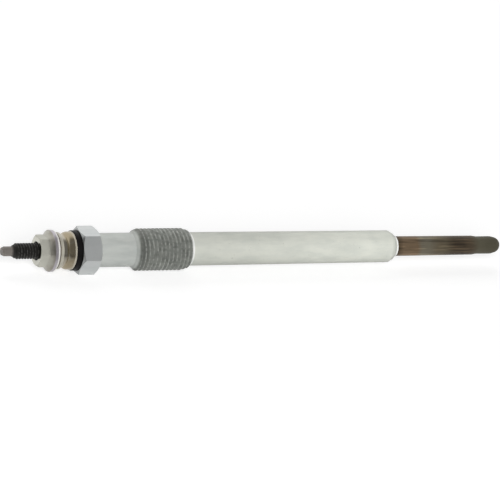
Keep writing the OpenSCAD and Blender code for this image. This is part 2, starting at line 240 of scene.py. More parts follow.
class TerminalSizes(bpy.types.PropertyGroup):
    """Sizes of the centre pole and of what is stacked on it"""

    pilot_d: length("Pilot diameter", "Diameter of the pilot", 2.32)
    pilot_len: length("Pilot length", "Length of the pilot", 2.4)
    pilot_bevel: length("Pilot bevel", "Bevel at the end of the pilot, on the radius", 0.3)
    cone_len: length("Stud cone", "Length of the cone from pilot to thread", 1.2)
    stud_pitch: length("Stud pitch", "Pitch of the terminal thread", 0.7)
    stud_depth: length("Stud thread depth", "Depth of the terminal thread", 0.27)
    stud_crest: share("Stud crest", "Part of a pitch that the crest takes", 0.14)
    stud_len: length("Stud thread length", "Length of the terminal thread with its cone", 14.0)
    stud_fade: length("Stud run-out", "Length over which the thread gets shallow at its end", 0.7)
    rod_d: length("Rod diameter", "Diameter of the rod inside the body", 3.2)
    rod_end_d: length("Rod end", "Diameter of the rod inside the heater tube", 2.0)
    rod_setback: length("Rod setback", "Distance from the rod's cone to the heater tube", 1.0)
    spigot_d: length("Spigot diameter", "Diameter of the end that carries the coil", 1.445)
    spigot_len: length("Spigot length", "Length of that end", 1.8)
    hole_d: length("Stud hole", "Diameter of the holes that the stud passes through", 3.9)
    nut_af: length("Nut across flats", "Width of the flange nut across its flats", 6.9)
    nut_turn: angle("Nut turn", "Turn of the flange nut about the axis, against the body's hexagon", -9.0)
    nut_bevel: length("Nut bevel", "How far the nut's front bevel cuts in from the corners", 0.72)
    countersink: length("Countersink", "Bevel at the mouth of the nut's hole", 0.3)
    flange_h: length("Flange height", "Height of the flange with its cone", 2.2)
    rim_h: length("Rim height", "Height of the flange's rim", 1.25)
    rim_round: length("Rim rounding", "Rounding at the back of the rim", 0.5)
    collar_d: length("Collar diameter", "Diameter of the round nut's collar", 7.6)
    collar_len: length("Collar length", "Length of the round nut's collar", 0.95)
    round_nut_round: length("Round nut shoulder", "Rounding of the round nut's shoulder", 1.2)
    back_rim_out: length("Back rim", "How far the round nut's back rim stands out", 0.12)
    back_rim_len: length("Back rim width", "Width of that rim", 0.4)
    sleeve_d: length("Sleeve diameter", "Diameter of the insulating washer's sleeve", 6.26)
    edge: length("Edge softening", "Width of the softened edges", 0.06)


class Finishes(bpy.types.PropertyGroup):
    """Colours of the pieces"""

    hexagon: colour("Hexagon", "Plating on the hexagon", (0.655, 0.675, 0.67))
    neck: colour("Neck", "Plating on the neck", (0.565, 0.585, 0.555))
    thread: colour("Thread", "Plating on the thread's crests", (0.46, 0.47, 0.435))
    # Dirt and painted shade: the darker tone in the thread's grooves
    groove: colour("Groove", "Dirt in the thread's grooves", (0.265, 0.275, 0.25))
    shank: colour("Shank", "Matt plating on the shank", (0.745, 0.76, 0.685))
    # Painted highlight: the bright ring where the thread ends and the bright lip at the nose
    ring: colour("Clean ring", "Bright ring where the thread ends", (0.84, 0.845, 0.82))
    straw: colour("Straw", "Heat tint next to the body", (0.225, 0.160, 0.100))
    steel_green: colour("Green grey", "Heat tint behind the straw", (0.21, 0.190, 0.142))
    olive: colour("Olive", "Heat tint in the middle of the tube", (0.165, 0.138, 0.092))
    umber: colour("Umber", "Heat tint before the tip", (0.074, 0.0555, 0.037))
    tip: colour("Tip", "Scale on the tip", (0.138, 0.128, 0.090))
    phosphate: colour("Phosphate", "Black coating of the stud", (0.030, 0.029, 0.027))
    worn: colour("Worn crest", "Crests rubbed grey", (0.13, 0.128, 0.12))
    pilot: colour("Pilot", "Grey brown of the pilot", (0.235, 0.215, 0.195))
    zinc: colour("Zinc", "Plating of the flange nut", (0.585, 0.58, 0.51))
    # Brown staining with painted shade on the nut's cone, and, darker, painted shade in the washer's groove
    # under the nut
    stain_and_shade: colour("Stain", "Brown stain on the nut's cone", (0.16, 0.125, 0.10))
    rim: colour("Rim", "Purple plating on the nut's rim", (0.52, 0.49, 0.52))
    # Painted highlight on the rounded edge of the nut's rim
    rubbed: colour("Rubbed edge", "Bright edge of the nut's rim", (0.74, 0.73, 0.69))
    washer: colour("Washer", "Plating of the flat washer", (0.56, 0.535, 0.45))
    chromate: colour("Chromate", "Yellowed plating of the round nut", (0.50, 0.46, 0.38))
    # Painted reflection: a darker brown band round the round nut's middle, for the dim room it mirrors
    brown_painted_reflection: colour("Browning", "Browned middle of the round nut", (0.40, 0.34, 0.235))
    insulator: colour("Insulator", "Black moulded insulator", (0.006, 0.0055, 0.0055))
    magnesia: colour("Magnesia", "Pressed powder", (0.72, 0.70, 0.64))
    coil: colour("Coil", "Resistance wire", (0.42, 0.38, 0.34))
    rubber: colour("Rubber", "Seals", (0.02, 0.02, 0.019))


class StageSettings(bpy.types.PropertyGroup):
    """Camera and light"""

    azimuth: angle("Azimuth", "Where the camera stands round the plug", -26.352)
    elevation: angle("Elevation", "How far the camera looks down", 23.608)
    roll: angle("Roll", "How far the camera is turned about its own line of sight", 10.445)
    distance: length("Distance", "From the camera to the point it aims at", 2000.0)
    lens: FloatProperty(
        name="Lens", description="Focal length in millimetres", default=611.14, min=1.0, unit="CAMERA"
    )
    aim_x: length("Aim", "Place on the axis in the middle of the picture", -35.485)
    aim_drop: length("Aim drop", "How far the picture's middle lies below the axis", 0.463)
    floor_size: length("Floor", "Width of the floor", 6000.0)
    key_power: power("Key light", "Power of the key light", 9.6)
    back_power: power("Back light", "Power of the back light", 3.0)


class GlowPlug(bpy.types.PropertyGroup):
    """All settings of the glow plug"""

    body: PointerProperty(type=BodySizes)
    heater: PointerProperty(type=HeaterSizes)
    terminal: PointerProperty(type=TerminalSizes)
    finish: PointerProperty(type=Finishes)
    stage: PointerProperty(type=StageSettings)


# Modelling


def hexagon_radius(flat_r, turn):
    """Distance from the axis to the side of a hexagon with a flat on top, at an angle about the axis."""
    return flat_r / math.cos(turn % HEX_SECTOR - HEX_SECTOR / 2)


def arc(centre_x, centre_r, radius, start, end, steps):
    """Stations along a round profile, from one angle to another, both measured from the radial line."""
    turns = [math.radians(start + (end - start) * i / steps) for i in range(steps + 1)]
    return [(centre_x + radius * math.sin(t), centre_r + radius * math.cos(t)) for t in turns]


def clamp(value, low, high):
    """The value, kept between two others."""
    return min(high, max(low, value))


def round_axis(x, radius, turn):
    """The point at a place along X, a distance from the axis and an angle about it."""
    return x, radius * math.cos(turn), radius * math.sin(turn)


def select_only(pieces):
    """Select these pieces and nothing else, with the first of them active."""
    bpy.ops.object.select_all(action="DESELECT")
    for piece in pieces:
        piece.select_set(True)
    bpy.context.view_layer.objects.active = pieces[0]


def weld():
    """Select the whole mesh that is being edited, and merge its points that lie in one place."""
    bpy.ops.mesh.select_all(action="SELECT")
    bpy.ops.mesh.remove_doubles(threshold=MERGE)


def place_ring(piece, station):
    """Move the selected ring to a station: (x, radius), or a function of the angle that gives both."""
    mesh = bmesh.from_edit_mesh(piece.data)
    for vertex in (v for v in mesh.verts if v.select):
        turn = math.atan2(vertex.co.z, vertex.co.y)
        x, radius = station(turn) if callable(station) else station
        vertex.co = round_axis(x, radius, turn)
    bmesh.update_edit_mesh(piece.data)


def loft(name, stations, sides):
    """A turned wall: a circle that is extruded from station to station along X."""
    bpy.ops.object.select_all(action="DESELECT")
    bpy.ops.mesh.primitive_circle_add(vertices=sides, radius=1.0, rotation=(0.0, math.pi / 2, 0.0))
    bpy.ops.object.transform_apply(location=False, rotation=True, scale=False)
    piece = bpy.context.object
    piece.name = name
    bpy.ops.object.mode_set(mode="EDIT")
    bpy.ops.mesh.select_all(action="SELECT")
    place_ring(piece, stations[0])
    for station in stations[1:]:
        bpy.ops.mesh.extrude_edges_move()
        place_ring(piece, station)
    weld()
    bpy.ops.object.mode_set(mode="OBJECT")
    return piece


def apply_modifier(piece, kind, **settings):
    """Add a modifier to a piece, set it up and apply it."""
    select_only([piece])
    bpy.ops.object.modifier_add(type=kind)
    modifier = piece.modifiers[-1]
    for key, value in settings.items():
        setattr(modifier, key, value)
    bpy.ops.object.modifier_apply(modifier=modifier.name)


def soften(piece, width):
    """Round the edges of a piece."""
    apply_modifier(
        piece,
        "BEVEL",
        width=width,
        segments=2,
        limit_method="ANGLE",
        angle_limit=SOFT_ANGLE,
        use_clamp_overlap=True,
    )


def one_pitch(tooth):
    """The outline of one thread pitch from root to root, with a rounded crest and root."""
    points = []
    for i in range(THREAD_STEPS + 1):
        along = i / THREAD_STEPS
        down = (abs(2 * along - 1) - tooth.crest_share) / (1 - tooth.crest_share - ROOT_SHARE)
        eased = (1 - math.cos(math.pi * clamp(down, 0.0, 1.0))) / 2
        points.append((tooth.pitch * along, tooth.crest_r - tooth.depth * eased))
    return points


def between(outline, x):
    """The radius of an outline of (x, radius) points at a place along X."""
    for (x0, r0), (x1, r1) in zip(outline, outline[1:]):
        if x <= x1:
            return r0 + (r1 - r0) * clamp((x - x0) / (x1 - x0), 0.0, 1.0)
    return outline[-1][1]


def thread(name, outline, cut, tooth, sides):
    """A thread cut into a turned outline, as deep at each place along X as the cut says, from 0 to 1."""
    start_x, end_x = outline[0][0], outline[-1][0]
    turns = math.ceil((end_x - start_x) / tooth.pitch) + 2 * SPARE_TURNS
    points = [(start_x - SPARE_TURNS * tooth.pitch + x, r) for x, r in one_pitch(tooth)]
    bpy.ops.object.select_all(action="DESELECT")
    bpy.ops.mesh.primitive_plane_add(size=1.0)
    piece = bpy.context.object
    piece.name = name
    bpy.ops.object.mode_set(mode="EDIT")
    bpy.ops.mesh.select_all(action="SELECT")
    bpy.ops.mesh.merge(type="CENTER")
    bpy.ops.transform.translate(value=(points[0][0], points[0][1], 0.0))
    for (x0, r0), (x1, r1) in zip(points, points[1:]):
        bpy.ops.mesh.extrude_region_move(TRANSFORM_OT_translate={"value": (x1 - x0, r1 - r0, 0.0)})
    bpy.ops.object.mode_set(mode="OBJECT")
    apply_modifier(
        piece,
        "SCREW",
        axis="X",
        angle=2 * math.pi,
        screw_offset=tooth.pitch,
        iterations=turns,
        steps=sides,
        render_steps=sides,
        use_merge_vertices=True,
        merge_threshold=MERGE,
    )
    bpy.ops.object.mode_set(mode="EDIT")
    mesh = bmesh.from_edit_mesh(piece.data)
    for vertex in mesh.verts:
        turn = math.atan2(vertex.co.z, vertex.co.y)
        x = clamp(vertex.co.x, start_x, end_x)
        groove = tooth.crest_r - math.hypot(vertex.co.y, vertex.co.z)
        vertex.co = round_axis(x, between(outline, x) - groove * between(cut, x), turn)
    bmesh.update_edit_mesh(piece.data)
    weld()
    bpy.ops.mesh.dissolve_degenerate(threshold=MERGE)
    bpy.ops.object.mode_set(mode="OBJECT")
    return piece


def finish_piece(walls, name, node, material):
    """Join walls into one closed piece that stands for a solid, and give it its finish."""
    select_only(walls)
    if len(walls) > 1:
        bpy.ops.object.join()
    piece = bpy.context.object
    piece.name = name
    piece.data.name = name
    bpy.ops.object.mode_set(mode="EDIT")
    weld()
    bpy.ops.mesh.fill_holes(sides=0)
    bpy.ops.mesh.normals_make_consistent(inside=False)
    bpy.ops.object.mode_set(mode="OBJECT")
    open_edges = len(loose_edges(piece))
    if open_edges:
        raise RuntimeError(f"{name} has {open_edges} open edges")
    bpy.ops.object.shade_smooth_by_angle(angle=SMOOTH_ANGLE)
    apply_modifier(piece, "WEIGHTED_NORMAL", keep_sharp=True, weight=80)
    piece.data.materials.clear()
    piece.data.materials.append(material)
    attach(piece, ROOT)
    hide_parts(node)


def loose_edges(piece):
    """Edges of a piece that don't lie between exactly two faces."""
    counts = {}
    for polygon in piece.data.polygons:
        for key in polygon.edge_keys:
            counts[key] = counts.get(key, 0) + 1
    return [key for key, count in counts.items() if count != 2]


# Finishes


class Signal:
    """An output of a shader tree, so that shader maths is written as Python sums."""

    def __init__(self, tree, socket=None):
        self.tree = tree
        self.socket = socket

    def node(self, kind, settings=None, sockets=None, out=0):
        """Add any node: its settings are set first, then its sockets get values or links."""
        made = self.tree.nodes.new(kind)
        for key, value in (settings or {}).items():
            if key == "stops":
                set_stops(made.color_ramp, value)
            else:
                setattr(made, key, value)
        for key, value in (sockets or {}).items():
            socket = next(s for i, s in enumerate(made.inputs) if key in (i, s.identifier))
            if isinstance(value, Signal):
                self.tree.links.new(value.socket, socket)
            else:
                socket.default_value = value
        outputs = [s for i, s in enumerate(made.outputs) if out in (i, s.identifier)]
        return Signal(self.tree, outputs[0] if outputs else None)

    def math(self, operation, first, second=0.0):
        """A Math node on one or two values."""
        return self.node("ShaderNodeMath", {"operation": operation}, {0: first, 1: second})

    def __add__(self, other):
        return self.math("ADD", self, other)

    def __radd__(self, other):
        return self.math("ADD", other, self)

    def __sub__(self, other):
        return self.math("SUBTRACT", self, other)

    def __rsub__(self, other):
        return self.math("SUBTRACT", other, self)

    def __mul__(self, other):
        return self.math("MULTIPLY", self, other)

    def __rmul__(self, other):
        return self.math("MULTIPLY", other, self)

    def axes(self):
        """The X, Y and Z of this vector."""
        split = self.node("ShaderNodeSeparateXYZ", {}, {"Vector": self}).socket.node
        return [Signal(self.tree, output) for output in split.outputs]

    def rise(self, low, high):
        """0 below low, 1 above high and a smooth rise between them."""
        settings = {"interpolation_type": "SMOOTHSTEP"}
        return self.node("ShaderNodeMapRange", settings, {"Value": self, "From Min": low, "From Max": high})

    def slope(self, low, high, start, end):
        """Start below low, end above high and a straight line between them."""
        sockets = {"Value": self, "From Min": low, "From Max": high, "To Min": start, "To Max": end}
        return self.node("ShaderNodeMapRange", {}, sockets)

    def band(self, start, end, soft):
        """1 between two values and 0 outside, with soft ends."""
        return self.rise(start - soft, start + soft) * (1 - self.rise(end - soft, end + soft))

    def mix(self, colour_a, colour_b):
        """Colour a where this is 0 and colour b where it is 1."""
        sockets = {"Factor_Float": self, "A_Color": colour_a, "B_Color": colour_b}
        return self.node("ShaderNodeMix", {"data_type": "RGBA"}, sockets, out="Result_Color")

    def times(self, rgb):
        """This colour multiplied by another."""
        settings = {"data_type": "RGBA", "blend_type": "MULTIPLY"}
        sockets = {"Factor_Float": 1.0, "A_Color": self, "B_Color": rgb}
        return self.node("ShaderNodeMix", settings, sockets, out="Result_Color")

    def noise(self, cells, detail=2.0, roughness=0.5):
        """Noise at this point, with so many cells for each metre along X, Y and Z."""
        moved = self.node("ShaderNodeMapping", {}, {"Vector": self, "Scale": cells})
        sockets = {"Vector": moved, "Scale": 1.0, "Detail": detail, "Roughness": roughness}
        return self.node("ShaderNodeTexNoise", {}, sockets)


def set_stops(ramp, stops):
    """Give a colour ramp its stops, each a position and a colour."""
    for position, _ in stops[2:]:
        ramp.elements.new(position)
    for element, (position, rgba) in zip(ramp.elements, stops):
        element.position = position
        element.color = rgba


def opaque(rgb, level=1.0):
    """A colour with its alpha, made lighter or darker by level."""
    return (rgb[0] * level, rgb[1] * level, rgb[2] * level, 1.0)


def clouded(clouds, rgb, level):
    """A colour that soft clouds make lighter or darker by level."""
    return clouds.rise(0.3, 0.7).mix(opaque(rgb, level), opaque(rgb))


def empty_material(name):
    """A new material, and the signal that its nodes start from."""
    material = bpy.data.materials.new(name)
    material.use_nodes = True
    material.node_tree.nodes.clear()
    return material, Signal(material.node_tree)


class Finish:
    """A material in the making: where its points lie, x and radius in millimetres, and how it is closed."""

    def __init__(self, name):
        self.material, self.root = empty_material(name)
        self.point = self.root.node("ShaderNodeTexCoord", out="Object")
        x, y, z = self.point.axes()
        spoke = self.root.node("ShaderNodeCombineXYZ", {}, {"Y": y, "Z": z})
        radius = self.root.node("ShaderNodeVectorMath", {"operation": "LENGTH"}, {0: spoke}, out="Value")
        self.x = x * (1 / MM)
        self.radius = radius * (1 / MM)

    def rings(self, cells):
        """Fine turning marks that run round the axis."""
        return self.point.noise((cells, MARK_CELLS, MARK_CELLS), detail=3.0, roughness=0.6)

    def clouds(self, cells):
        """Soft clouds of tone."""
        return self.point.noise((cells, cells, cells), detail=3.0)

    def close(self, height, bump, sockets):
        """Finish with a Principled shader whose normal is roughened by a height."""
        lifted = {"Height": height, "Strength": 1.0, "Distance": bump}
        normal = self.root.node("ShaderNodeBump", {}, lifted, out="Normal")
        shader = self.root.node("ShaderNodeBsdfPrincipled", {}, {**sockets, "Normal": normal})
        self.root.node("ShaderNodeOutputMaterial", {}, {"Surface": shader})
        return self.material

    def close_metal(self, height, bump, tone, metal, rough):
        """Finish as a metal, bare or coated."""
        return self.close(height, bump, {"Base Color": tone, "Metallic": metal, "Roughness": rough})


def hexagon_tone(finish, plug, front):
    """Bright plating with painted shade on the front bevel and darker painted shade on the front face, for
    the black insulator and the dim room mirrored there, and where these two are.
    """
    paint, body = plug.finish, plug.body
    face_r = (reach("body") / math.cos(HEX_SECTOR / 2) - body.hex_bevel) / MM
    past_face = finish.root.math("MAXIMUM", finish.radius - face_r, 0.0)
    on_front = 1 - (finish.x - front - past_face * BEVEL_SLOPE).rise(0.0, 0.08)
    on_face = 1 - finish.radius.rise(face_r - 0.02, face_r + 0.1)
    # Painted shade and reflection: the front bevel gets a darker copy of the plating and the front face a
    # darker one still
    turned = on_face.mix(opaque(paint.hexagon, 0.58), opaque(paint.hexagon, 0.2))
    return on_front.mix(opaque(paint.hexagon), turned), on_front


def thread_tone(finish, plug, at, dirt_and_shade):
    """Dirt and painted shade in the thread's grooves, darkest on the first turns, and worn plating on the
    crests.
    """
    paint, body = plug.finish, plug.body
    depth = body.thread_depth / MM
    full_r, last_r = body.thread_d / 2 / MM, body.thread_last_d / 2 / MM
    height = finish.radius - finish.x.slope(at["taper"], at["crest_end"], full_r, last_r)
    crest = height.rise(-0.6 * depth, -0.05 * depth)
    rubbed = finish.point.noise(CREST_WEAR, detail=3.0).rise(0.34, 0.7)
    first_turns = finish.x.band(at["lead_end"], at["lead_end"] + 1.6, 0.5)
    pale = dirt_and_shade.rise(0.25, 0.6) * (1 - first_turns * 0.8)
    # Dirt and painted shade: the grooves are darker than the crests, darkest on the first turns
    groove = pale.mix(opaque(paint.groove, 0.62), opaque(paint.groove))
    return (crest * rubbed).mix(groove, opaque(paint.thread))


def plated_steel(plug):
    """Plating on the housing: bright hexagon with painted shade on its front, satin neck, thread darkened
    in its grooves by soiling and painted shade, and a matt shank with a painted highlight growing towards
    the seat, a painted shade band at the seat and painted highlights on the ring where the thread ends and
    on the lip.
    """
    paint, body = plug.finish, plug.body
    at = {key: x / MM for key, x in body_places(body).items()}
    seat = body.seat_len / MM
    finish = Finish("plated_steel")
    x = finish.x
    on_neck = x.rise(at["neck"] - 0.02, at["neck"] + 0.02)
    on_lead = x.rise(at["thread"] - 0.3, at["thread"])
    on_turns = x.rise(at["lead_end"] - 0.7, at["lead_end"] - 0.25)
    on_shank = x.rise(at["crest_end"] - 0.05, at["crest_end"] + 0.05)
    on_thread = (on_lead * 0.25 + on_turns * 0.75) * (1 - on_shank)
    on_ring = x.band(at["crest_end"], at["shank"] + 0.15, 0.1)
    on_lip = x.rise(at["lip"] - 0.3, at["lip"])
    marks = finish.rings(7000.0)
    dirt_and_shade = finish.clouds(900.0)
    clouds = finish.point.noise(PLATING_CLOUDS, detail=3.0)
    blotches = finish.point.noise(NECK_BLOTCHES, detail=4.0, roughness=0.6)
    specks = finish.clouds(3200.0).rise(0.70, 0.76)
    hexagon, on_front = hexagon_tone(finish, plug, at["front"])
    # Painted highlight: the shank's plating is lighter towards the seat
    shank = x.rise(at["shank"], at["nose"]).mix(opaque(paint.shank, 0.775), opaque(paint.shank, 0.975))
    steel = on_neck.mix(hexagon, opaque(paint.neck))
    # Painted highlight: the bright ring where the thread ends
    steel = on_shank.mix(steel, on_ring.mix(shank, opaque(paint.ring)))
    steel = on_thread.mix(steel, thread_tone(finish, plug, at, dirt_and_shade))
    steel = clouds.rise(0.3, 0.6).mix(steel.times((0.90, 0.91, 0.91, 1.0)), steel)
    stains_and_shade = [
        (blotches.rise(0.4, 0.62) * on_neck, (0.94, 0.945, 0.95, 1.0)),
        (specks * on_shank, (0.45, 0.43, 0.40, 1.0)),
        # Painted shade: a blue grey band at the small end of the seat
        (x.band(seat - 0.12, seat + 0.12, 0.08) * blotches.rise(0.35, 0.55), (0.66, 0.70, 0.70, 1.0)),
    ]
    for stain_and_shade, tint in stains_and_shade:
        steel = stain_and_shade.mix(steel, steel.times(tint))
    # Painted highlight on the lip at the nose
    steel = on_lip.mix(steel, opaque(paint.ring, 1.1))
    rough = 0.32 - on_front * 0.14 + on_neck * 0.12 + marks * 0.08
    metal = 0.78 + on_front * 0.22 - on_neck * 0.4 + on_thread * 0.22
    metal = metal - on_shank * (0.2 + (on_ring + on_lip) * 0.12)
    height = marks * (0.3 + on_shank * 0.7) + dirt_and_shade * 0.5
    return finish.close_metal(height, TURNED_BUMP, steel, metal, rough)


def heat_tint(plug):
    """Heat-tinted alloy: straw next to the body, green grey, olive, umber, and scale on the tip."""
    paint = plug.finish
    finish = Finish("heat_tint")
    nose, tip = last_x("body") / MM, last_x("heater_tube") / MM
    along = (finish.x - nose) * (1 / (tip - nose))
    clouds = finish.clouds(420.0)
    wander = along + (clouds - 0.5) * 0.05
    # Parts of the bare length, and the tint there
    stops = [
        (0.0, opaque(paint.straw, 0.35)),
        (0.06, opaque(paint.straw)),
        (0.19, opaque(paint.straw, 0.92)),
        (0.23, opaque(paint.steel_green)),
        (0.30, opaque(paint.steel_green, 0.97)),
        (0.38, opaque(paint.olive)),
        (0.46, opaque(paint.olive, 0.85)),
        (0.54, opaque(paint.umber, 1.1)),
        (0.63, opaque(paint.umber)),
        (0.70, opaque(paint.umber, 1.38)),
        (0.78, opaque(paint.tip)),
        (1.0, opaque(paint.tip, 0.75)),
    ]
    tint = finish.root.node("ShaderNodeValToRGB", {"stops": stops}, {"Fac": wander})
    streaks = finish.point.noise(TUBE_STREAKS, detail=3.0, roughness=0.6)
    before_tip = 1 - along.rise(0.62, 0.8)
    bright = streaks.rise(0.53, 0.68) * before_tip
    dull = (1 - streaks.rise(0.34, 0.46)) * before_tip
    tint = bright.mix(tint.times((0.86, 0.85, 0.83, 1.0)), tint.times((1.75, 1.70, 1.58, 1.0)))
    tint = dull.mix(tint, tint.times((0.6, 0.6, 0.6, 1.0)))
    rough = 0.40 + streaks * 0.2 + along.rise(0.7, 0.9) * 0.12
    return finish.close_metal(streaks + clouds * 0.4, STREAKED_BUMP, tint, 0.55, rough)


def black_stud(plug):
    """Black phosphate on the terminal, rubbed grey on the crests and on the pilot."""
    paint, terminal = plug.finish, plug.terminal
    finish = Finish("black_stud")
    stud_r = reach("centre_pole") / MM
    depth = terminal.stud_depth / MM
    cone_x = (first_x("centre_pole") + terminal.pilot_len) / MM
    speckle = finish.clouds(2500.0)
    rubbed = finish.radius.rise(stud_r - 0.25 * depth, stud_r) * speckle.rise(0.35, 0.65)
    coat = rubbed.mix(opaque(paint.phosphate), opaque(paint.worn))
    on_stud = finish.x.rise(cone_x - 0.3, cone_x + 0.5)
    marks = finish.rings(9000.0)
    skin = on_stud.mix(clouded(marks, paint.pilot, 0.8), coat)
    metal = 0.5 + on_stud * 0.15
    rough = 0.38 + on_stud * 0.14 + speckle * 0.1
    return finish.close_metal(speckle + marks * 0.5, COATED_BUMP, skin, metal, rough)


def drawn_wire(plug):
    """Bare wire of the coils, with drawing marks and slightly clouded."""
    finish = Finish("coil_wire")
    marks = finish.rings(9000.0)
    clouds = finish.clouds(520.0)
    tone = clouded(clouds, plug.finish.coil, 0.9)
    return finish.close_metal(marks + clouds * 0.6, TURNED_BUMP, tone, 1.0, 0.35 + marks * 0.1)


def washer_with_painted_shade(plug):
    """Zinc on the flat washer, with painted shade in the groove under the nut."""
    paint = plug.finish
    finish = Finish("zinc_washer")
    start = first_x("flat_washer") / MM
    marks = finish.rings(4000.0)
    clouds = finish.clouds(520.0)
    # Painted shade: the washer's front edge is darker, in the groove under the nut
    dirt_and_shade = 1 - finish.x.rise(start + 0.2, start + 0.5)
    zinc = dirt_and_shade.mix(clouded(clouds, paint.washer, 0.85), opaque(paint.stain_and_shade, 0.6))
    metal = 0.5 - dirt_and_shade * 0.2
    rough = 0.26 + marks * 0.1 + dirt_and_shade * 0.3
    return finish.close_metal(marks + clouds * 0.6, TURNED_BUMP, zinc, metal, rough)


def round_nut_with_painted_reflection(plug):
    """Yellowed plating on the round nut, with a brown band of painted reflection round its middle, for the
    dim room it mirrors.
    """
    paint, terminal = plug.finish, plug.terminal
    finish = Finish("plated_round_nut")
    start = first_x("round_nut") / MM
    rim_x = (last_x("round_nut") - terminal.back_rim_len) / MM
    marks = finish.rings(6000.0)
    clouds = finish.clouds(520.0)
    # Painted reflection: the brown band round the middle
    brown = finish.x.band(start + 0.9, rim_x - 0.05, 0.25) * clouds.rise(0.1, 0.5)
    rim = finish.x.rise(rim_x - 0.05, rim_x + 0.05)
    tone = brown.mix(opaque(paint.chromate), opaque(paint.brown_painted_reflection))
    return finish.close_metal(marks + clouds * 0.6, TURNED_BUMP, tone, 1.0 - rim * 0.6, 0.16 + marks * 0.1)


def zinc_nut(plug):
    """Zinc on the flange nut: olive hexagon, brown staining with painted shade on the cone, purple rim with
    a painted highlight on its edge, and painted shade round the hole.
    """
    paint, terminal = plug.finish, plug.terminal
    finish = Finish("zinc_nut")
    x = finish.x
    front, back = first_x("flange_nut") / MM, last_x("flange_nut") / MM
    rim_x = back - terminal.rim_h / MM
    stud_r = reach("centre_pole") / MM
    clouds = finish.clouds(420.0)
    marks = finish.rings(5000.0)
    face = 1 - x.rise(front + 0.02, front + 0.05)
    cone = x.rise(back - terminal.flange_h / MM - 0.6, rim_x)
    rim = x.rise(rim_x - 0.12, rim_x + 0.12)
    edge = x.rise(back - 0.7, back - 0.4)
    hole = 1 - finish.radius.rise(stud_r + 0.15, stud_r + 0.5)
    layers = [
        # Brown staining with painted shade in the corner under the hexagon
        (cone * (0.25 + clouds.rise(0.35, 0.7) * 0.45), opaque(paint.stain_and_shade)),
        (rim, opaque(paint.rim)),
        # Painted highlight on the rim's rounded edge
        (edge, opaque(paint.rubbed)),
        # Painted shade in the countersink round the hole
        (hole, opaque(paint.phosphate, 0.4)),
    ]
    zinc = clouded(clouds, paint.zinc, 0.9)
    for where, tone in layers:
        zinc = where.mix(zinc, tone)
    rough = 0.38 + marks * 0.08 + hole * 0.2 - cone * 0.12 - face * 0.26
    metal = 0.6 + cone * 0.4 - rim * 0.2 + face * 0.4 - hole * 0.4 - edge * 0.6
    return finish.close_metal(marks * 0.6 + clouds, COATED_BUMP, zinc, metal, rough)


def matt(name, rgb, rough, cells, bump, gloss=0.3):
    """A dull, slightly grainy finish, as of moulded plastic, rubber or pressed powder."""
    finish = Finish(name)
    grain = finish.clouds(cells)
    sockets = {
        "Base Color": clouded(grain, rgb, 0.8),
        "Specular IOR Level": gloss,
        "Roughness": rough + grain * 0.12,
    }
    return finish.close(grain, bump, sockets)


# Pieces


def body_places(body):
    """Where the stretches of the housing start along X, in metres."""
    front, nose = first_x("body"), last_x("body")
    neck = front + body.hex_len
    thread_start = neck + body.neck_len
    shank = -body.shank_len
    crest_end = shank - (body.thread_last_d - body.shank_top_d) / 2
    return {
        "front": front,
        "neck": neck,
        "thread": thread_start,
        "lead_end": thread_start + body.thread_lead,
        "taper": crest_end - body.thread_taper,
        "crest_end": crest_end,
        "shank": shank,
        "lip": nose - body.lip_len,
        "nose": nose,
    }


class GLOWPLUG_OT_body(bpy.types.Operator):
    """Model the steel housing with its hexagon, thread, shank and sealing seat"""

    bl_idname = "glow_plug.body"
    bl_label = "Housing"

    def execute(self, context):
        plug = context.scene.glow_plug
        body = plug.body
        x = body_places(body)
        flat_r = reach("body")
        corner_r = flat_r / math.cos(HEX_SECTOR / 2)
        face_r = corner_r - body.hex_bevel
        back_r = corner_r - body.hex_back_bevel
        neck_r = body.neck_d / 2

        def hex_front(turn):
            radius = hexagon_radius(flat_r, turn)
            return x["front"] + (radius - face_r) * BEVEL_SLOPE, radius

        def hex_back(turn):
            radius = hexagon_radius(flat_r, turn)
            return x["neck"] - (radius - back_r) * BEVEL_SLOPE, radius

        seal_end = x["front"] + body.seal_bore_len
        mouth = first_x("heater_tube")
        front_stations = [
            (x["front"], body.seal_bore_d / 2),
            (x["front"], face_r),
            hex_front,
            hex_back,
            (x["neck"], back_r),
            (x["neck"], neck_r),
            (x["thread"], neck_r),
        ]
        shank_stations = [
            (x["shank"], body.shank_top_d / 2),
            (0.0, body.shank_end_d / 2),
            (body.seat_len, body.seat_end_d / 2),
            (x["lip"], body.lip_d / 2),
            (x["nose"], body.lip_d / 2),
            (x["nose"], body.grip_d / 2),
            (mouth, body.grip_d / 2),
            (mouth, body.pole_bore_d / 2),
            (seal_end, body.pole_bore_d / 2),
            (seal_end, body.seal_bore_d / 2),
            (x["front"], body.seal_bore_d / 2),
        ]
        outline = [
            (x["thread"], neck_r),
            (x["lead_end"], body.thread_d / 2),
            (x["taper"], body.thread_d / 2),
            (x["crest_end"], body.thread_last_d / 2),
            (x["shank"], body.shank_top_d / 2),
        ]
        cut = [
            (x["thread"], 0.0),
            (x["lead_end"], 1.0),
            (x["crest_end"] - body.edge, 1.0),
            (x["crest_end"], 0.0),
            (x["shank"], 0.0),
        ]
        walls = [loft("hexagon", front_stations, BODY_SIDES), loft("shank", shank_stations, BODY_SIDES)]
        for wall in walls:
            soften(wall, body.edge)
        tooth = Tooth(body.thread_pitch, body.thread_d / 2, body.thread_depth, body.thread_crest)
        walls.append(thread("body_thread", outline, cut, tooth, BODY_SIDES))
        finish_piece(walls, "housing", "body", plated_steel(plug))
        return {"FINISHED"}


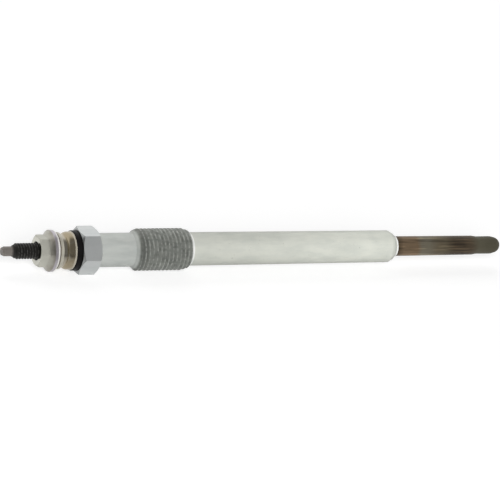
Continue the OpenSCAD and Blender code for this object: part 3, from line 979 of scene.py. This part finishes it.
class GLOWPLUG_OT_heater_tube(bpy.types.Operator):
    """Model the closed heater tube with its swaged tip"""

    bl_idname = "glow_plug.heater_tube"
    bl_label = "Heater tube"

    def execute(self, context):
        plug = context.scene.glow_plug
        heater = plug.heater
        mouth = first_x("heater_tube")
        tip = last_x("heater_tube")
        tube_r = reach("heater_tube")
        tip_r = heater.tip_d / 2
        nose = last_x("body")
        shoulder = tip - heater.tip_len
        swaged = shoulder + heater.shoulder_len
        lean = math.atan(heater.cone_in / heater.cone_len)
        ball_r = (tip_r - heater.cone_in) / math.cos(lean)
        ball_x = tip - ball_r
        cone_end = ball_x + ball_r * math.sin(lean)
        round_end = arc(ball_x, 0.0, ball_r, math.degrees(lean), ROUND_STOP, steps=12)
        inner_tip_r = tip_r - heater.wall
        stations = [
            (tip - heater.tip_floor, inner_tip_r * OPEN_SHARE),
            (tip - heater.tip_floor, inner_tip_r),
            (swaged, inner_tip_r),
            (shoulder, tube_r - heater.wall),
            (mouth, tube_r - heater.wall),
            (mouth, tube_r),
            (nose, tube_r),
            (shoulder, heater.shoulder_d / 2),
            (swaged, tip_r),
            (cone_end - heater.cone_len, tip_r),
            *round_end,
        ]
        wall = loft("heater_wall", stations, BODY_SIDES)
        soften(wall, heater.edge)
        finish_piece([wall], "heater_sheath", "heater_tube", heat_tint(plug))
        return {"FINISHED"}


class GLOWPLUG_OT_centre_pole(bpy.types.Operator):
    """Model the centre pole with its pilot and terminal thread"""

    bl_idname = "glow_plug.centre_pole"
    bl_label = "Centre pole"

    def execute(self, context):
        plug = context.scene.glow_plug
        terminal = plug.terminal
        start = first_x("centre_pole")
        end = last_x("centre_pole")
        stud_r = reach("centre_pole")
        pilot_r = terminal.pilot_d / 2
        rod_r = terminal.rod_d / 2
        rod_end_r = terminal.rod_end_d / 2
        cone = start + terminal.pilot_len
        stud_end = cone + terminal.stud_len
        seal_end = first_x("body") + plug.body.seal_bore_len
        rod_end = first_x("heater_tube") - terminal.rod_setback
        spigot = end - terminal.spigot_len
        pilot_stations = [
            (start, pilot_r - terminal.pilot_bevel),
            (start + 2 * terminal.pilot_bevel, pilot_r),
            (cone, pilot_r),
        ]
        rod_stations = [
            (stud_end, stud_r),
            (seal_end, stud_r),
            (seal_end + stud_r - rod_r, rod_r),
            (rod_end - (rod_r - rod_end_r), rod_r),
            (rod_end, rod_end_r),
            (spigot, rod_end_r),
            (spigot, terminal.spigot_d / 2),
            (end, terminal.spigot_d / 2),
        ]
        outline = [(cone, pilot_r), (cone + terminal.cone_len, stud_r), (stud_end, stud_r)]
        fade = stud_end - terminal.stud_fade
        cut = [
            (cone, 0.0),
            (cone + terminal.cone_len, 1.0),
            (fade - terminal.stud_fade, 1.0),
            (fade, 0.0),
            (stud_end, 0.0),
        ]
        walls = [loft("pilot", pilot_stations, STUD_SIDES), loft("rod", rod_stations, STUD_SIDES)]
        for wall in walls:
            soften(wall, terminal.edge)
        tooth = Tooth(terminal.stud_pitch, stud_r, terminal.stud_depth, terminal.stud_crest)
        walls.append(thread("stud_thread", outline, cut, tooth, STUD_SIDES))
        finish_piece(walls, "terminal_pole", "centre_pole", black_stud(plug))
        return {"FINISHED"}


class GLOWPLUG_OT_flange_nut(bpy.types.Operator):
    """Model the hexagon nut with its coned flange"""

    bl_idname = "glow_plug.flange_nut"
    bl_label = "Flange nut"

    def execute(self, context):
        plug = context.scene.glow_plug
        terminal = plug.terminal
        front = first_x("flange_nut")
        back = last_x("flange_nut")
        flange_r = reach("flange_nut")
        flat_r = terminal.nut_af / 2
        hole_r = terminal.hole_d / 2
        face_r = flat_r / math.cos(HEX_SECTOR / 2) - terminal.nut_bevel
        cone_slope = (terminal.flange_h - terminal.rim_h) / (flange_r - flat_r)

        def hex_front(turn):
            radius = hexagon_radius(flat_r, turn - terminal.nut_turn)
            return front + (radius - face_r) * BEVEL_SLOPE, radius

        def hex_foot(turn):
            radius = hexagon_radius(flat_r, turn - terminal.nut_turn)
            return back - terminal.flange_h + (radius - flat_r) * cone_slope, radius

        rim_round = terminal.rim_round
        rim = arc(back - rim_round, flange_r - rim_round, rim_round, 0.0, 90.0, steps=6)
        stations = [
            (front + terminal.countersink, hole_r),
            (front, hole_r + terminal.countersink),
            (front, face_r),
            hex_front,
            hex_foot,
            (back - terminal.rim_h, flange_r),
            *rim,
            (back, hole_r),
            (front + terminal.countersink, hole_r),
        ]
        wall = loft("nut_wall", stations, BODY_SIDES)
        soften(wall, terminal.edge)
        finish_piece([wall], "terminal_nut", "flange_nut", zinc_nut(plug))
        return {"FINISHED"}


class GLOWPLUG_OT_rings(bpy.types.Operator):
    """Model the turned rings of the terminal: flat washer, round nut and insulating washer"""

    bl_idname = "glow_plug.rings"
    bl_label = "Washers and round nut"

    def execute(self, context):
        plug = context.scene.glow_plug
        terminal = plug.terminal
        hole_r = terminal.hole_d / 2
        washer = [
            (first_x("flat_washer"), hole_r),
            (first_x("flat_washer"), reach("flat_washer")),
            (last_x("flat_washer"), reach("flat_washer")),
            (last_x("flat_washer"), hole_r),
            (first_x("flat_washer"), hole_r),
        ]
        nut_x = first_x("round_nut")
        nut_end = last_x("round_nut")
        rim_r = reach("round_nut")
        nut_r = rim_r - terminal.back_rim_out
        shoulder = nut_x + terminal.collar_len + terminal.round_nut_round
        round_r = terminal.round_nut_round
        foot = math.degrees(math.acos((terminal.collar_d / 2 - (nut_r - round_r)) / round_r))
        round_nut = [
            (nut_x, hole_r),
            (nut_x, terminal.collar_d / 2),
            *arc(shoulder, nut_r - round_r, round_r, -foot, 0.0, steps=10),
            (nut_end - terminal.back_rim_len, nut_r),
            (nut_end - terminal.back_rim_len + terminal.back_rim_out, rim_r),
            (nut_end, rim_r),
            (nut_end, hole_r),
            (nut_x, hole_r),
        ]
        front = first_x("insulating_washer")
        seat = first_x("body")
        insulator = [
            (front, hole_r),
            (front, reach("insulating_washer")),
            (seat, reach("insulating_washer")),
            (seat, terminal.sleeve_d / 2),
            (last_x("insulating_washer"), terminal.sleeve_d / 2),
            (last_x("insulating_washer"), hole_r),
            (front, hole_r),
        ]
        black = matt(
            "insulator", plug.finish.insulator, rough=0.38, cells=3000.0, bump=0.000006, gloss=0.14
        )
        # Name, solid, slot, stations, softness in widths of an edge, and finish
        rings = [
            ("terminal_washer", "flat_washer", "zinc_washer", washer, 2.0, washer_with_painted_shade(plug)),
            ("retaining_nut", "round_nut", "plated_round_nut", round_nut, 1.0, round_nut_with_painted_reflection(plug)),
            ("insulator", "insulating_washer", "insulator", insulator, 2.5, black),
        ]
        for name, node, slot, stations, softness, finish in rings:
            wall = loft(name, stations, BODY_SIDES)
            soften(wall, softness * terminal.edge)
            finish_piece([wall], name, node, finish)
        return {"FINISHED"}


class GLOWPLUG_OT_inner_pieces(bpy.types.Operator):
    """Give the pieces hidden inside their finishes"""

    bl_idname = "glow_plug.inner_pieces"
    bl_label = "Inner pieces"

    def execute(self, context):
        plug = context.scene.glow_plug
        rubber = matt("seal_rubber", plug.finish.rubber, rough=0.6, cells=4000.0, bump=0.00001)
        powder = matt("magnesia", plug.finish.magnesia, rough=0.8, cells=6000.0, bump=0.00002)
        wire = drawn_wire(plug)
        finishes = {
            "magnesia_fill": powder,
            "control_coil": wire,
            "heating_coil": wire,
            "tube_stopper": rubber,
            "seal_ring": rubber,
        }
        for node, finish in finishes.items():
            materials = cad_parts[node].data.materials
            materials.clear()
            materials.append(finish)
        return {"FINISHED"}


# Studio


def soft_light(name, place, target, width, watts):
    """A square soft light that faces a point and that bright metal doesn't mirror."""
    bpy.ops.object.light_add(type="AREA", location=place)
    lamp = bpy.context.object
    lamp.name = name
    lamp.data.shape = "SQUARE"
    lamp.data.size = width
    lamp.data.energy = watts
    lamp.visible_glossy = False
    lamp.rotation_euler = (target - place).to_track_quat("-Z", "Y").to_euler()


def ray_kinds(root):
    """Two signals: 1 for rays from the camera, and 1 for rays from reflections or through glass."""
    rays = root.node("ShaderNodeLightPath").socket.node.outputs
    kinds = [Signal(root.tree, rays[k]) for k in ("Is Camera Ray", "Is Glossy Ray", "Is Transmission Ray")]
    return kinds[0], kinds[1] + kinds[2]


class GLOWPLUG_OT_stage(bpy.types.Operator):
    """Set up the floor, the lights, the white surroundings and the camera"""

    bl_idname = "glow_plug.stage"
    bl_label = "Studio"

    def execute(self, context):
        stage = context.scene.glow_plug.stage
        middle = Vector((stage.aim_x, 0.0, 0.0))
        self.add_floor(stage)
        soft_light("front_light", middle + KEY_PLACE, middle, KEY_WIDTH, stage.key_power)
        soft_light("back_light", middle + BACK_PLACE, middle, BACK_WIDTH, stage.back_power)
        self.add_surroundings(context)
        self.add_camera(context, stage, middle)
        context.scene.view_settings.view_transform = "Standard"
        return {"FINISHED"}

    def add_floor(self, stage):
        """A pale floor that keeps the plug's shadow."""
        bpy.ops.object.select_all(action="DESELECT")
        bpy.ops.mesh.primitive_plane_add(size=stage.floor_size, location=(0.0, 0.0, CAD_BOX[0].z))
        floor = bpy.context.object
        floor.name = "studio_floor"
        bpy.ops.object.transform_apply(location=True, rotation=False, scale=False)
        material, root = empty_material("pale_floor")
        direct, mirrored = ray_kinds(root)
        across, depth, _ = root.node("ShaderNodeTexCoord", out="Object").axes()
        front = (1 - depth.rise(*FRONT_Y)) * mirrored
        paper = root.node("ShaderNodeBsdfDiffuse", {}, {"Color": PAPER})
        shade = root.node("ShaderNodeBsdfDiffuse", {}, {"Color": DIM_PAPER})
        paper = root.node("ShaderNodeMixShader", {}, {0: front, 1: paper, 2: shade})
        seen = direct * (FLOOR_GLOW + depth.rise(*GAIN_Y) * FAR_GAIN)
        in_metal = (mirrored - front) * across.slope(*FADE_X, 0.1, 1.0) * MIRRORED_GLOW
        glow = root.node("ShaderNodeEmission", {}, {"Color": WHITE, "Strength": seen + in_metal})
        both = root.node("ShaderNodeAddShader", {}, {0: paper, 1: glow})
        root.node("ShaderNodeOutputMaterial", {}, {"Surface": both})
        floor.data.materials.append(material)

    def add_surroundings(self, context):
        """White all round, with a dim room on the camera's side that bright metal mirrors."""
        world = bpy.data.worlds.new("white_surroundings")
        context.scene.world = world
        world.use_nodes = True
        world.node_tree.nodes.clear()
        root = Signal(world.node_tree)
        direct, mirrored = ray_kinds(root)
        heading = root.node("ShaderNodeTexCoord", out="Generated")
        sockets = {0: heading, 1: ROOM_SIDE}
        towards = root.node("ShaderNodeVectorMath", {"operation": "DOT_PRODUCT"}, sockets, out="Value")
        aside = heading.axes()[0]
        shown = 1 - towards.rise(*ROOM_EDGE) * (1 - aside.rise(*TIP_EDGE)) * ROOM_DARK
        shown = shown * (1 - (1 - aside.rise(*END_EDGE)) * END_DARK)
        strength = direct + (1 - direct) * (FILL_LIGHT + mirrored * (shown - FILL_LIGHT))
        light = root.node("ShaderNodeBackground", {}, {"Color": WHITE, "Strength": strength})
        root.node("ShaderNodeOutputWorld", {}, {"Surface": light})

    def add_camera(self, context, stage, middle):
        """The camera at the picture's viewing angle."""
        az, el, roll = stage.azimuth, stage.elevation, stage.roll
        back = Vector((math.sin(az) * math.cos(el), -math.cos(az) * math.cos(el), math.sin(el)))
        level = Vector((math.cos(az), math.sin(az), 0.0))
        above = back.cross(level)
        right = math.cos(roll) * level + math.sin(roll) * above
        up = back.cross(right)
        place = middle - up * stage.aim_drop + back * stage.distance
        bpy.ops.object.camera_add()
        camera = bpy.context.object
        camera.name = "picture_camera"
        camera.data.lens = stage.lens
        camera.data.sensor_width = SENSOR_WIDTH
        camera.data.clip_start = SEEN_FROM
        camera.data.clip_end = SEEN_TO
        turned = Matrix((right, up, back)).transposed().to_4x4()
        camera.matrix_world = Matrix.Translation(place) @ turned
        context.scene.camera = camera


class GLOWPLUG_PT_sidebar(bpy.types.Panel):
    """Buttons and sizes in the 3D view's sidebar"""

    bl_idname = "GLOWPLUG_PT_sidebar"
    bl_label = "Glow Plug"
    bl_space_type = "VIEW_3D"
    bl_region_type = "UI"
    bl_category = "Glow Plug"

    def draw(self, context):
        plug = context.scene.glow_plug
        for operator in OPERATORS:
            self.layout.operator(operator.bl_idname)
        for title in ("body", "heater", "terminal", "finish", "stage"):
            box = self.layout.box()
            box.label(text=title.capitalize())
            settings = getattr(plug, title)
            for key in settings.bl_rna.properties.keys():
                if key not in ("rna_type", "name"):
                    box.prop(settings, key)


GROUPS = (BodySizes, HeaterSizes, TerminalSizes, Finishes, StageSettings, GlowPlug)
OPERATORS = (
    GLOWPLUG_OT_body,
    GLOWPLUG_OT_heater_tube,
    GLOWPLUG_OT_centre_pole,
    GLOWPLUG_OT_flange_nut,
    GLOWPLUG_OT_rings,
    GLOWPLUG_OT_inner_pieces,
    GLOWPLUG_OT_stage,
)


def register():
    """Register the classes and hang the settings on the scene."""
    for cls in (*GROUPS, *OPERATORS, GLOWPLUG_PT_sidebar):
        bpy.utils.register_class(cls)
    bpy.types.Scene.glow_plug = PointerProperty(type=GlowPlug)


def unregister():
    """Take the settings and the classes away again."""
    del bpy.types.Scene.glow_plug
    for cls in reversed((*GROUPS, *OPERATORS, GLOWPLUG_PT_sidebar)):
        bpy.utils.unregister_class(cls)


def main():
    """Make every piece in order."""
    register()
    bpy.ops.glow_plug.body()
    bpy.ops.glow_plug.heater_tube()
    bpy.ops.glow_plug.centre_pole()
    bpy.ops.glow_plug.flange_nut()
    bpy.ops.glow_plug.rings()
    bpy.ops.glow_plug.inner_pieces()
    bpy.ops.glow_plug.stage()


if __name__ == "__main__":
    main()
